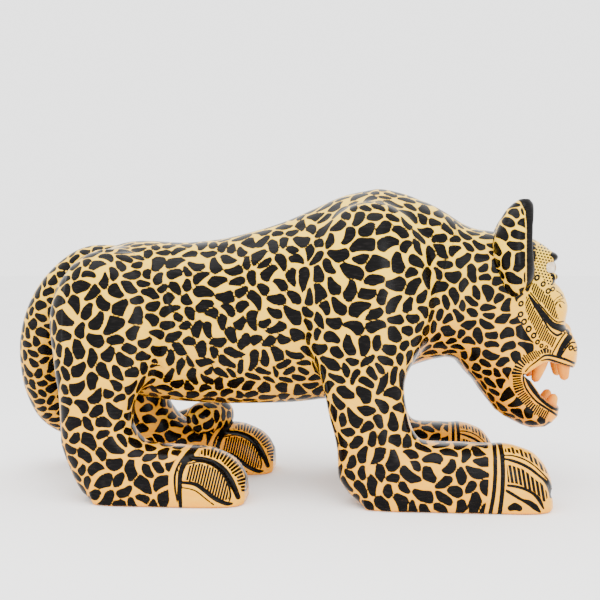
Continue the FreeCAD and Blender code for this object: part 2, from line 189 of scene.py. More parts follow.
def poly_sdf(P, X, Z):
    P = np.array(P, float)
    d = np.full(np.broadcast(X, Z).shape, 1e9); inside = np.zeros(d.shape, bool)
    n = len(P)
    for i in range(n):
        a, b = P[i], P[(i+1) % n]
        e = b - a; wx, wz = X - a[0], Z - a[1]
        t = np.clip((wx*e[0] + wz*e[1])/max(e@e, 1e-9), 0, 1)
        d = np.minimum(d, (wx - t*e[0])**2 + (wz - t*e[1])**2)
        c = ((a[1] > Z) != (b[1] > Z)) & (X < (b[0]-a[0])*(Z-a[1])/((b[1]-a[1]) if b[1] != a[1] else 1e-9) + a[0])
        inside ^= c
    d = np.sqrt(d)
    return np.where(inside, -d, d)


def surface_nets(F, G):
    s = F < 0
    nx, ny, nz = F.shape
    c = np.zeros((nx-1, ny-1, nz-1), np.uint8)
    for i in (0, 1):
        for j in (0, 1):
            for k in (0, 1):
                c += s[i:nx-1+i, j:ny-1+j, k:nz-1+k]
    act = (c > 0) & (c < 8)
    idx = np.full(act.shape, -1, np.int32)
    cells = np.argwhere(act)
    idx[act] = np.arange(len(cells))
    corner = np.array([[i, j, k] for i in (0, 1) for j in (0, 1) for k in (0, 1)])
    vals = np.stack([F[cells[:, 0]+o[0], cells[:, 1]+o[1], cells[:, 2]+o[2]] for o in corner], 1)
    acc = np.zeros((len(cells), 3)); cnt = np.zeros(len(cells))
    cid = {tuple(o): n for n, o in enumerate(corner)}
    for o in corner:
        for ax in range(3):
            if o[ax] == 0:
                p = o.copy(); p[ax] = 1
                a = vals[:, cid[tuple(o)]]; b = vals[:, cid[tuple(p)]]
                m = (a < 0) != (b < 0)
                t = np.where(m, a/np.where(m, a - b, 1), 0)
                acc[:, 0] += m*(o[0] + (t if ax == 0 else 0))
                acc[:, 1] += m*(o[1] + (t if ax == 1 else 0))
                acc[:, 2] += m*(o[2] + (t if ax == 2 else 0))
                cnt += m
    V = (cells + acc/np.maximum(cnt, 1)[:, None])*G.h + G.lo
    Q = []
    for ax in range(3):
        a = [slice(None)]*3; b = [slice(None)]*3
        a[ax] = slice(0, -1); b[ax] = slice(1, None)
        e = np.argwhere(s[tuple(a)] != s[tuple(b)])
        o1, o2 = (ax+1) % 3, (ax+2) % 3
        e = e[(e[:, o1] > 0) & (e[:, o2] > 0) & (e[:, o1] < F.shape[o1]-1) & (e[:, o2] < F.shape[o2]-1)]

        def at(d1, d2):
            q = e.copy(); q[:, o1] -= d1; q[:, o2] -= d2
            return idx[q[:, 0], q[:, 1], q[:, 2]]
        q = np.stack([at(1, 1), at(0, 1), at(0, 0), at(1, 0)], 1)
        neg = s[e[:, 0], e[:, 1], e[:, 2]]
        q[~neg] = q[~neg][:, ::-1]
        Q.append(q)
    return V, np.concatenate(Q)


def trilinear(F, G, V):
    p = (V - G.lo)/G.h
    i = np.clip(np.floor(p).astype(int), 0, G.n - 2); f = p - i
    out = 0
    for a in (0, 1):
        for b in (0, 1):
            for c in (0, 1):
                w = (f[:, 0] if a else 1-f[:, 0])*(f[:, 1] if b else 1-f[:, 1])*(f[:, 2] if c else 1-f[:, 2])
                out = out + w*F[i[:, 0]+a, i[:, 1]+b, i[:, 2]+c]
    return out


def settle(V, F, G, n=2):
    """pull the net's points onto the surface"""
    e = 0.5*G.h
    for _ in range(n):
        f = trilinear(F, G, V)
        g = np.stack([(trilinear(F, G, V + e*d) - trilinear(F, G, V - e*d))/(2*e) for d in np.eye(3)], 1)
        s = np.maximum((g**2).sum(1), 0.05)
        V = V - np.clip(f/s, -0.6*G.h, 0.6*G.h)[:, None]*g
    return V


# --------------------------------------------------------- the animal's form
def paw_rows(name):
    side, fdx, cdx, k, drop = LEGS[name]
    P = FORE_PAW if name[0] == "f" else HIND_PAW
    x0 = P[0][0]
    return [(x0 + fdx + (x - x0)*k, side*61.0, (t - drop - 16)/2, w, (t - drop + 16)/2, n) for x, t, w, n in P]


CAM = np.array([67.48, -857.35, 209.0]); FOC = 955.0
_t, _p = math.radians(4.5), math.radians(2.4)
RIGHT = np.array([math.cos(_t), math.sin(_t), 0])
FWD = np.array([-math.sin(_t)*math.cos(_p), math.cos(_t)*math.cos(_p), -math.sin(_p)])
UP = np.cross(RIGHT, FWD)
TOES = {"f": [[(505,459),(521,464),(530,468.6),(537,474),(543,479.2),(548,485),(551,496)], [(508,485.6),(516,486.6),(525,489.2),(533,493.5),(539,499.5),(543.5,509)]],
        "h": [[(192,458.4),(204,459.2),(215,463.2),(224.5,471),(232,483),(238,497)], [(182,482.5),(195,484.2),(205,490.8),(215,498.6),(226,503.5)]]}


def groove(G, f, name):
    """shallow carved valleys between the toes"""
    side, fdx, cdx, k, drp = LEGS[name]
    x0, x1 = (150, 214) if name[0] == "f" else (-110, -24)
    r = G.sub((x0, side*61 - 34, GROUND), (x1, side*61 + 34, 66))
    if r is None:
        return f
    sl, X, Y, Z = r
    b0 = (FORE_PAW if name[0] == "f" else HIND_PAW)[0][0]
    xc = b0 + (X - b0 - fdx)/k; zc = GROUND + (Z - GROUND)*(56.0/(56.0 - drp))
    ya = np.abs(Y); yy = -np.where(ya > 61, ya, 122 - ya)
    dx = xc - CAM[0]; dy = yy - CAM[1]; dz = zc - CAM[2]
    w = dx*FWD[0] + dy*FWD[1] + dz*FWD[2]
    U = 300 + FOC*(dx*RIGHT[0] + dy*RIGHT[1])/w; W = 300 - FOC*(dx*UP[0] + dy*UP[1] + dz*UP[2])/w
    for line in TOES[name[0]]:
        d2 = np.full(U.shape, 1e6)
        for a, b in zip(line[:-1], line[1:]):
            e = (b[0] - a[0], b[1] - a[1]); l2 = e[0]**2 + e[1]**2
            t = np.clip(((U - a[0])*e[0] + (W - a[1])*e[1])/l2, 0, 1)
            d2 = np.minimum(d2, (U - a[0] - t*e[0])**2 + (W - a[1] - t*e[1])**2)
        f[sl] += (1.5*np.exp(-d2/4.5)).astype(np.float32)
    return f


def leg_field(G, name):
    side, fdx, cdx, k, drop = LEGS[name]
    rows = []
    for z, xr, xf, yi, yo, n in (FORE if name[0] == "f" else HIND):
        w = 1 - float(step01((z - 30)/90.0))
        rows.append((z, (xr + xf)/2 + cdx*w, side*(yi + yo)/2, (xf - xr)/2, (yo - yi)/2, n))
    a = tube(G, rows, 2); b = tube(G, paw_rows(name), 0)
    f = smin(a, b, 13)
    f = groove(G, f, name)
    return smax(f, GROUND - G.z[None, None, :] + 0*f, 6.0)


def head_width(X, Z):
    W = 48.5 + 0*X + 0*Z
    W = W + (38 - W)*step01((X - 188)/42.)
    jaw = step01((120 - Z)/36.)*step01((X - 146)/50.)
    W = W + (30 - W)*jaw
    muz = step01((150 - Z)/22.)*step01((X - 205)/25.)*(1 - jaw)
    return W + (31 - W)*muz


def head_round(X, Z):
    R = 40 + 0*X + 0*Z
    R = R + (25 - R)*step01((X - 195)/35.)
    jaw = step01((112 - Z)/30.)*step01((X - 150)/50.)
    return R + (18 - R)*jaw


def head_field(G):
    F = G.full(); r = G.sub((84, -72, 44), (262, 72, 268))
    if r is None:
        return F
    sl, X, Y, Z = r
    X2 = X[:, 0, :]; Z2 = Z[:, 0, :]
    d = -poly_sdf(HEADP, X2, Z2)
    W = head_width(X2, Z2); R = head_round(X2, Z2); p = 2.25
    q = (np.abs(Y)/W[:, None, :])**p + np.maximum(1 - d/R, 0)[:, None, :]**p
    f = (q**(1/p) - 1)*np.minimum(W, R)[:, None, :]
    f = norm_field(f.astype(np.float32), G.h)
    F[sl] = f
    # face relief: brow and lid rolls, nose, whisker pads
    for s in (-1, 1):
        F = smin(F, ellipsoid(G, (215.8, s*19, 211.5), (8.6, 11, 5.0)), 4)          # brow
        F = smin(F, ellipsoid(G, (216.0, s*19, 194.5), (8.6, 10.5, 4.4)), 3.5)      # lower lid
        F = smin(F, ellipsoid(G, (224, s*19, 134), (17, 13, 14)), 8)            # whisker pad
    F = smin(F, ellipsoid(G, (231, 0, 147.5), (8.5, 12, 7.0)), 4)               # nose
    return F


def body_field(G):
    t = tube(G, [(x, 0, (a+b)/2, w, (a-b)/2, n) for x, a, b, w, n in TORSO], 0)
    for s in (-1, 1):
        t = smin(t, ellipsoid(G, (-163, s*47, 152), (47, 31, 62)), 26)
        t = smin(t, ellipsoid(G, (63, s*50, 178), (50, 30, 78)), 26)
    for n in LEGS:
        t = smin(t, leg_field(G, n), 15)
    k = (1.5 + 17*step01((150 - G.x)/30.))[:, None, None].astype(np.float32)
    t = smin(t, head_field(G), k)
    r = G.sub((150, -80, 50), (262, 80, 150))
    if r is not None:
        sl, X, Y, Z = r
        m = (poly_sdf(MOUTH, X[:, 0, :], Z[:, 0, :])[:, None, :] + 0*Y).astype(np.float32)
        t[sl] = smax(t[sl], -m, 4.0)
    return t


def ear_field(G, s):
    dx, dz = (7.0, -3.0) if s > 0 else (0.0, 0.0)
    f = tube(G, [(z+dz, xc+dx, s*yc, hx, hy, n) for z, xc, hx, yc, hy, n in EAR], 2)
    h = tube(G, [(z+dz, xc+dx, s*yc, hx, hy, n) for z, xc, hx, yc, hy, n in EAR_HOLLOW], 2)
    return smax(f, -h, 3.0)


# ------------------------------------------------------------ mesh helpers
def close_box(F):
    for ax in range(3):
        for i in (0, -1):
            sl = [slice(None)]*3; sl[ax] = i
            F[tuple(sl)] = np.maximum(F[tuple(sl)], 1.0)
    return F


def mesh_object(name, V, Q):
    me = bpy.data.meshes.new(name)
    me.vertices.add(len(V)); me.vertices.foreach_set("co", np.asarray(V, np.float32).ravel())
    k = Q.shape[1]
    me.loops.add(len(Q)*k); me.loops.foreach_set("vertex_index", Q.astype(np.int32).ravel())
    me.polygons.add(len(Q)); me.polygons.foreach_set("loop_start", np.arange(0, len(Q)*k, k, dtype=np.int32))
    me.update(calc_edges=True); me.validate()
    ob = bpy.data.objects.new(name, me)
    bpy.context.scene.collection.objects.link(ob)
    return ob


def coords(ob):
    V = np.empty(len(ob.data.vertices)*3, np.float32)
    ob.data.vertices.foreach_get("co", V)
    return V.reshape(-1, 3).astype(float)


def prism(name, poly, y0, y1):
    """closed prism over an X,Z outline between two Y planes, mm"""
    bm = bmesh.new()
    a = [bm.verts.new((x, y0, z)) for x, z in poly]; b = [bm.verts.new((x, y1, z)) for x, z in poly]
    bm.faces.new(a); bm.faces.new(b[::-1])
    n = len(poly)
    for i in range(n):
        bm.faces.new((a[i], b[i], b[(i+1) % n], a[(i+1) % n]))
    bmesh.ops.recalc_face_normals(bm, faces=bm.faces[:])
    me = bpy.data.meshes.new(name); bm.to_mesh(me); bm.free()
    ob = bpy.data.objects.new(name, me)
    bpy.context.scene.collection.objects.link(ob)
    return ob


def boolean(ob, other, op):
    m = ob.modifiers.new("cut", "BOOLEAN"); m.operation = op; m.object = other; m.solver = "MANIFOLD"
    dg = bpy.context.evaluated_depsgraph_get()
    me = bpy.data.meshes.new_from_object(ob.evaluated_get(dg))
    old = ob.data; ob.modifiers.clear(); ob.data = me; bpy.data.meshes.remove(old)
    return ob


def drop(*obs):
    for o in obs:
        me = o.data; bpy.data.objects.remove(o); bpy.data.meshes.remove(me)


def implicit_piece(name, field, lo, hi, h):
    G = Grid(lo, hi, h*COARSE)
    F = close_box(field(G))
    V, Q = surface_nets(F, G)
    V = settle(V, F, G)
    return mesh_object(name, V, Q)


# ------------------------------------------------------ cutting into pieces
FORE_CUT = [(14,60),(12,92),(6,124),(-2,150),(-2,185),(12,214),(34,236),(58,246),(84,236),(100,220),(110,200),(112,180),(108,160),(101,140),(97,122),(99,100),(108,60)]
HIND_CUT = [(-137,60),(-133,84),(-128,97),(-118,120),(-108,150),(-108,178),(-120,200),(-142,215),(-165,222),(-190,218),(-212,208),(-228,186),(-232,150),(-230,100),(-230,60)]


def leg_cutter(name):
    side = LEGS[name][0]; fore = name[0] == "f"
    poly = FORE_CUT if fore else HIND_CUT
    dx = 6 if name == "hind_leg_left" else 0
    a = prism("c1", [(x + dx*float(step01((130 - z)/60.)), z) for x, z in poly], side*40, side*140)
    x0, x1 = (-12, 240) if fore else (-250, -8)
    b = prism("c2", [(x0, -30), (x1, -30), (x1, 58.6 if fore else 79), (120, 58.6), (118, 79), (x0, 79)] if fore
              else [(x0, -30), (x1, -30), (x1, 79), (x0, 79)], side*1.0, side*140)
    boolean(a, b, "UNION"); drop(b)
    return a


def cut_neck_poly():
    u = np.array([1/3.0, 1]); u /= np.linalg.norm(u); p = np.array([97.0, 117.0])
    b = p + u*220
    return [tuple(p), (131, 117), (131, 59.2), (330, 59.2), (330, b[1]), tuple(b)]


PIECES = {}
NECK = prism("neck_cutter", cut_neck_poly(), -130, 130)
CUT = {n: leg_cutter(n) for n in LEGS}
torso = implicit_piece("torso_carving", body_field, (-222, -96, 62), (156, 96, 282), 1.6)
for c in CUT.values():
    boolean(torso, c, "DIFFERENCE")
boolean(torso, NECK, "DIFFERENCE")
PIECES["torso"] = torso
for n, (side, fdx, cdx, k, drp) in LEGS.items():
    xr = (-14, 226) if n[0] == "f" else (-240, -12)
    yr = (-104, -18) if side < 0 else (18, 104)
    o = implicit_piece(n + "_carving", body_field, (xr[0], yr[0], 0), (xr[1], yr[1], 256), 1.2)
    boolean(o, CUT[n], "INTERSECT")
    if n[0] == "f":
        boolean(o, NECK, "DIFFERENCE")
    PIECES[n] = o
head = implicit_piece("head_carving", body_field, (92, -90, 54), (256, 90, 276), 0.75)
boolean(head, NECK, "INTERSECT")
PIECES["head"] = head
for s, n in ((-1, "ear_right"), (1, "ear_left")):
    PIECES[n] = implicit_piece(n + "_carving", lambda G, s=s: ear_field(G, s), (160, 44*s-30, 174), (232, 44*s+30, 268), 0.8)
PIECES["tail"] = implicit_piece("tail_carving", lambda G: path_tube(G, catmull(TAIL, 8)), (-276, -30, 8), (-60, 128, 230), 1.3)
drop(NECK, *CUT.values())


# ----------------------------------------------------- painted decoration

def side_uv(V):
    """perspective projection from the photograph's viewpoint CAM, in 600 x 600 pixel units"""
    d = V - CAM; z = d@FWD
    return 300 + FOC*(d@RIGHT)/z, 300 - FOC*(d@UP)/z


def xz_uv(pts, y=-88.0):
    u, v = side_uv(np.array([(x, y, z) for x, z in pts], float))
    return list(zip(u, v))


def line_sd(U, V, pts, w):
    """half-width w (number or one per point) minus distance; also arc length and signed side"""
    P = np.array(pts, float); w = np.broadcast_to(np.asarray(w, float), (len(P),))
    best = np.full(U.shape, -1e3); arc = np.zeros(U.shape); side = np.zeros(U.shape); L = 0.0
    for i in range(len(P) - 1):
        e = P[i+1] - P[i]; l = math.hypot(*e)
        if l < 1e-9:
            continue
        t = np.clip(((U - P[i, 0])*e[0] + (V - P[i, 1])*e[1])/(l*l), 0, 1)
        dx = U - P[i, 0] - t*e[0]; dy = V - P[i, 1] - t*e[1]
        d = w[i] + (w[i+1] - w[i])*t - np.hypot(dx, dy)
        m = d > best
        best = np.where(m, d, best); arc = np.where(m, L + t*l, arc)
        side = np.where(m, np.sign(e[0]*dy - e[1]*dx)*np.hypot(dx, dy), side); L += l
    return best, arc, side


def smooth_line(pts, n=6):
    P = catmull([tuple(p) + (0,) if len(p) == 2 else p for p in pts], n)
    return P[:, :2]


def rnd(ob_count, seed):
    return np.random.default_rng(seed)


def dirs_field(V, N):
    """brush direction: along the body, down the legs, wandering"""
    x, y, z = V.T
    a = 0.9*np.sin(x/37.0 + 1.3*np.sin(z/31.0) + y/40.0) + 0.7*np.sin(z/23.0 - x/52.0 + 2.0)
    leg = step01((120 - z)/60.0)*(np.abs(y) > 28)
    a = a + leg*0.9
    d = np.stack([np.cos(a), 0.25*np.sin(x/29.0 + z/33.0), np.sin(a)], 1)
    d -= (d*N).sum(1)[:, None]*N
    n = np.linalg.norm(d, axis=1)
    alt = np.cross(N, np.array([0, 0, 1.0])); alt /= np.maximum(np.linalg.norm(alt, axis=1), 1e-6)[:, None]
    return np.where(n[:, None] > 0.15, d/np.maximum(n, 1e-6)[:, None], alt)


def semi_axes(V):
    x, y, z = V.T
    a = 8.9 + 0*x; b = 6.2 + 0*x
    big = np.maximum(1 - np.hypot((x - 55)/50, (z - 200)/55), 0) + np.maximum(1 - np.hypot((x + 165)/48, (z - 160)/58), 0)
    big = np.clip(big*1.6, 0, 1)
    a += 1.5*big; b += 1.3*big
    hd = step01((x - 118)/30.0)*step01((z - 62)/10.0)
    a -= 0.9*hd; b -= 0.8*hd
    bel = step01((z - 100)/10.)*step01((135 - z)/14.)*step01((92 - x)/8.)*step01((x + 128)/10.)
    a += 1.0*bel; b -= 1.4*bel
    return a, b


class Spots:
    """dense teardrop strokes scattered over a set of surface points"""

    def __init__(self, V, N, ok, seed, scale=1.0, pack=1.55):
        r = np.random.default_rng(seed)
        self.V, self.N = V, N
        idx = np.flatnonzero(ok)
        idx = r.permutation(idx)
        a, b = semi_axes(V[idx]); a *= scale; b *= scale
        D = dirs_field(V[idx], N[idx])
        ang = r.normal(0, 0.85, len(idx)); B = np.cross(N[idx], D)
        D = D*np.cos(ang)[:, None] + B*np.sin(ang)[:, None]; B = np.cross(N[idx], D)
        P = V[idx]
        size = r.uniform(0.82, 1.16, len(idx)); a *= size; b *= size
        cell = 22.0; grid = {}; keep = []
        keys = np.floor(P/cell).astype(int)
        for t, thr in ((0, pack*1.12), (1, pack), (2, pack*0.93)):
            step = len(idx) if t else len(idx)
            for i in range(step):
                k = keys[i]; p = P[i]; good = True; near = []
                for dx in (-1, 0, 1):
                    for dy in (-1, 0, 1):
                        for dz in (-1, 0, 1):
                            near += grid.get((k[0]+dx, k[1]+dy, k[2]+dz), ())
                if near:
                    q = P[near] - p
                    m = (N[idx[near]]@N[idx[i]]) > -0.1
                    d1 = np.sqrt(((q@D[i])/a[i])**2 + ((q@B[i])/b[i])**2 + (q@N[idx[i]]/9)**2)
                    d2 = np.sqrt(((q*D[near]).sum(1)/a[near])**2 + ((q*B[near]).sum(1)/b[near])**2 + ((q*N[idx[near]]).sum(1)/9)**2)
                    good = not (m & (0.5*(d1 + d2) < thr)).any()
                if good:
                    keep.append(i); grid.setdefault(tuple(k), []).append(i)
                if i > 60000 and t < 2:
                    break
                if i > 90000:
                    break
        keep = np.array(keep)
        self.c, self.d, self.b, self.n = P[keep], D[keep], B[keep], N[idx[keep]]
        self.ra, self.rb = a[keep], b[keep]
        self.flip = r.choice([-1.0, 1.0], len(keep)); self.bend = r.uniform(0.3, 0.85, len(keep))*r.choice([-1, 1], len(keep)); self.taper = r.uniform(0.45, 0.95, len(keep))*r.choice([-1, 1], len(keep))

    def paint(self, V, N, gap=0.95):
        n = len(V); K = 5
        Dk = np.full((n, K), 99.0, np.float32); Ik = np.full((n, K), -1, np.int32)
        order = np.argsort(V[:, 0]); xs = V[order, 0]
        M = 26.0
        for j in range(len(self.c)):
            c = self.c[j]
            i0, i1 = np.searchsorted(xs, [c[0] - M, c[0] + M])
            sub = order[i0:i1]
            q = V[sub] - c
            m = (np.abs(q[:, 1]) < M) & (np.abs(q[:, 2]) < M)
            sub = sub[m]; q = q[m]
            m = (N[sub]@self.n[j]) > -0.25
            sub = sub[m]; q = q[m]
            if not len(sub):
                continue
            d = np.sqrt(((q@self.d[j])/self.ra[j])**2 + ((q@self.b[j])/self.rb[j])**2 + (q@self.n[j]/11.0)**2)
            m = d < Dk[sub, K-1]; sub = sub[m]; d = d[m]
            if not len(sub):
                continue
            Dk[sub, K-1] = d; Ik[sub, K-1] = j
            o = np.argsort(Dk[sub], 1)
            Dk[sub] = np.take_along_axis(Dk[sub], o, 1); Ik[sub] = np.take_along_axis(Ik[sub], o, 1)

        def dist(j):
            q = V - self.c[j]
            u = (q*self.d[j]).sum(1)/self.ra[j]; v = (q*self.b[j]).sum(1)/self.rb[j]; w = (q*self.n[j]).sum(1)/11.0
            D = np.sqrt(u*u + v*v + w*w) + 1e-6
            g = ((u/self.ra[j]/D)[:, None]*self.d[j] + (v/self.rb[j]/D)[:, None]*self.b[j] + (w/11.0/D)[:, None]*self.n[j])
            return D, g, u, v
        has = Ik[:, 0] >= 0
        j1 = np.maximum(Ik[:, 0], 0)
        D1, g1, u1, v1 = dist(j1)
        s = np.full(n, 30.0)
        for k in range(1, K):
            ok = Ik[:, k] >= 0; jk = np.maximum(Ik[:, k], 0)
            Dj, gj, _, _ = dist(jk)
            gg = np.linalg.norm(gj - g1, axis=1)
            e = (Dj - D1)/np.maximum(gg, 0.05)
            e = np.where(ok, e, 30.0) - gap/2
            s = smin(s, e, 4.9)
        # a round belly at one end and a drawn-out, curved tip at the other
        fl = self.flip[j1]; u = u1*fl*self.ra[j1]; v = v1*self.rb[j1]
        L = self.ra[j1]*1.47; R = self.rb[j1]*1.27
        v = v + self.bend[j1]*(u*u/L - 0.25*L)*0.55
        x0, x1 = -0.30*L, 0.98*L; r1 = 1.0; l = x1 - x0
        k = (R - r1)/l
        t = np.clip(((u - x0) + np.abs(v)*k/np.sqrt(np.maximum(1 - k*k, 0.05)))/l, 0, 1)
        cap = R + (r1 - R)*t - np.hypot(u - x0 - t*l, v)
        s = smin(s, cap, 1.6)
        return np.where(has, s, -5.0)


# face, mouth and paw drawing, in pixels of the photograph's view (see side_uv): positions
# were read off the photograph, and are carried along its sight lines onto the surface
EDGE = [(536,250),(535,266),(532.5,281),(529,292),(526.5,292.5)]
FACE_ZONE = [(537,236),(536.5,262),(534,280),(530,290),(525,294),(518.5,300),(516,309),(519.5,318),(524,327),(529,335.5),(535,343),(541,349),(530,353.5),(520,361),(513,369),(509.5,377),(510.5,386),(516,394.5),(524,402.5),(534,411),(545,418),(553,422.5),(575,424),(604,400),(604,236)]
LIP_OUT = [(566,361),(557,357.6),(550,355.2),(545,354.9),(539,358.4),(532,362.9),(526,367.3),(523.4,372.5),(523.2,378.5),(525.2,387.5),(530,395),(535.4,401.4),(540,404.6),(546,408),(552,411)]
RINGS = [(537,277.7,2.4,1.0),(543.2,284,2.2,0.85),(548.2,291,2.3,0.85),(552.8,289,2.0,0.6),(521,303.7,2.3,0.9),(520.6,314.4,2.5,0.9),(524,321.8,2.6,0.9),(528.7,329,2.7,0.9),(533.7,335.6,2.4,0.9),(537.5,342,2.0,0.8),(541.5,345.8,1.8,0.7),(546.3,347.2,1.6,0.5),(571,348,2.1,0.8),(575.6,349,2.0,0.6)]
HEAD_LINES = [
    ([(530.4,292.6),(533.5,296.5),(538.5,303),(543,308),(548.5,314.5),(553.5,319.6),(558,322),(563.5,321.5)], 0.75),
    ([(529,294.6),(533,300.5),(538.5,307.5),(543.5,314),(548.5,320.5),(553.5,325.4),(562,328.3)], [0.9,1.5,2.0,2.4,2.8,3.2,3.9]),
    ([(528.6,295),(533,303.5),(539,313),(544.5,321.5),(548,327.5),(552,332),(557,335.2),(561.5,333.5)], [0.8,0.9,1.0,1.0,1.0,1.0,1.3,1.1]),
    ([(565.3,332.8),(561,338.5),(556.5,346),(552.4,353.6)], 0.8),
    ([(569.3,337.5),(565,343),(561.5,348.5),(558.3,354.6)], [3.3,3.0,2.5,2.0]),
    ([(575,342.6),(571.5,342.6),(567.5,346.2),(563.5,351.8),(560.5,356.6)], 0.85),
    ([(553.3,302.2),(556.5,298.4),(562.5,294.7)], 0.5), ([(555,304.2),(558.5,300),(563.5,298.3)], 0.45),
    ([(554.8,306.4),(557.8,302.4),(561.6,301.2),(565,303.6)], 0.5), ([(559.7,304.6),(560.3,306.6),(562,308)], [0.9,0.8,0.3]),
    ([(556.4,290.8),(560.5,293.5),(563.3,297.8)], 0.45),
    ([(525.5,371.5),(530,366.4),(536,361.8),(541,357.8),(545.5,355.4),(551.7,355.6),(561,358),(567,360),(573.8,363)], [0.7,0.7,0.8,0.9,1.1,1.3,1.3,1.3,1.4]),
    ([(541,360.6),(547.7,359.4),(553,360.6),(560,363.2),(566,365.2),(572,366.8)], [0.5,1.0,1.2,1.3,1.3,1.2]),
    ([(523.6,373.9),(523.4,379.5),(525.6,387.5),(530.5,395),(536.6,401.6),(545,407.4),(556.5,414.8)], [0.7,0.9,1.0,1.05,1.1,1.2,1.3]),
    ([(525.2,374.9),(528.2,381.7),(533,389.4),(539,396.6),(545.6,402.6),(551,406.4),(556.6,409)], [1.3,2.0,2.3,2.3,2.3,2.4,2.2]),
    ([(564.5,327),(566.3,330.5),(567.5,334)], [0.8,0.7,0.4]), ([(567.4,329.5),(568.6,332),(568.8,335)], [0.7,1.2,0.8]), ([(563,329.5),(564.4,333)], 0.5)]
EYE_LINES = [([(553.5,254.5),(556,257.5),(556.5,261)], 3.0), ([(550.5,269.6),(554,270.8),(556.6,274),(556.8,279)], 0.75), ([(549.6,272.2),(552.6,274.8),(554.0,278.6),(552.8,284)], [1.0,1.5,1.5,0.8])]
FUR = [  # zone outline, direction of the strokes across which the phase runs, pitch, half width of a stroke as a share of the pitch
    ([(531,281),(535.5,282.5),(540,288),(546,294),(551,295),(554,302),(556,312),(560,320.5),(554,317.5),(548,311.5),(541,303),(535,296),(530.5,290.5)], (0.93,0.36), 2.3, 0.36),
    ([(526.5,296.5),(530,299.5),(535,308.5),(541,318.5),(546,327),(552,334.5),(556.5,338.5),(552,347),(546.5,343.5),(541.5,341),(537.5,336),(534,329),(529,321),(525,311.5)], (0.90,0.43), 2.2, 0.36)]


def head_art(V, out):
    x, y, z = V.T
    U, W = side_uv(np.stack([x, -np.abs(y), z], 1))
    art = out["art"]; ln = np.full(len(V), -9.0)
    front = (x > 150)
    for p, w in HEAD_LINES + EYE_LINES:
        q = smooth_line(p, 4)
        ww = w if np.isscalar(w) else np.interp(np.linspace(0, len(w) - 1, len(q)), np.arange(len(w)), w)
        ln = np.maximum(ln, line_sd(U, W, q, ww)[0])
    for a, b, r, w in RINGS:
        k = 0.80; w = w + 0.2
        du, dv = U - a, W - b
        p1 = du*0.83 + dv*0.56; p2 = -du*0.56 + dv*0.83
        ln = np.maximum(ln, w - np.abs(np.hypot(p1/k, p2) - r))
    art = np.where(front, np.maximum(art, ln*0.82), art)
    zone = -poly_sdf(FACE_ZONE, U, W)*0.82
    inside = front & (zone > -9)
    out["s"] = np.where(front, np.minimum(out["s"], -zone - 0.6), out["s"])
    # the ear's black front edge runs on down the side of the head
    band, _, _ = line_sd(U, W, [(529.5,246),(530,262),(529.6,270),(528.8,280),(527.4,290)], [4.0,4.0,3.7,2.9,1.8])
    hide = np.abs(y) > 26
    out["s"] = np.where(front & hide, smax(out["s"], np.minimum(band*0.82, 30), 0.4), out["s"])
    # strokes round the mouth
    q = smooth_line(LIP_OUT, 5)
    _, arc, side = line_sd(U, W, q, 0.0)
    d = side if line_sd(np.array([515.0]), np.array([374.0]), q, 0.0)[2][0] > 0 else -side
    top = step01((arc - 12)/30.0)
    reach = 4.0 + 6.4*top - 2.2*step01((arc - arc.max() + 10)/12.0)
    pm = np.minimum(np.minimum(d - 1.3, reach + 1.0 - d), np.minimum(arc - 16, arc.max() - 1.0 - arc))*0.82
    ph = arc/2.05; pw = np.full(len(V), 0.37)
    for zn, dr, pitch, hw in FUR:
        m = -poly_sdf(zn, U, W)*0.82
        take = m > pm
        pm = np.where(take, m, pm); ph = np.where(take, (U*dr[0] + W*dr[1])/pitch, ph); pw = np.where(take, hw, pw)
    pm = np.where(front, pm, -9)
    take = pm > out["pm"]
    out["pm"] = np.where(take, pm, out["pm"]); out["ph"] = np.where(take, ph, out["ph"]); out["pw"] = np.where(take, pw, out["pw"])
    out["art"] = art
    dz = [(533.5,250),(541,242),(550,246),(553,262),(552,270),(556,284),(551,288),(545,282),(538,274),(533,280),(530,288),(533,268)]
    out["dm"] = np.where(front, -poly_sdf(dz, U, W)*0.82, -9)
    out["au"], out["av"] = U, W
    # mask of the mouth's inside, where the face drawing is left off and the ground is darkened to a deep orange as
    # painted shade of the cavity
    m = poly_sdf(MOUTH, x, z)
    inner = (m < 0.9) & (np.abs(y) < 33)
    return inner


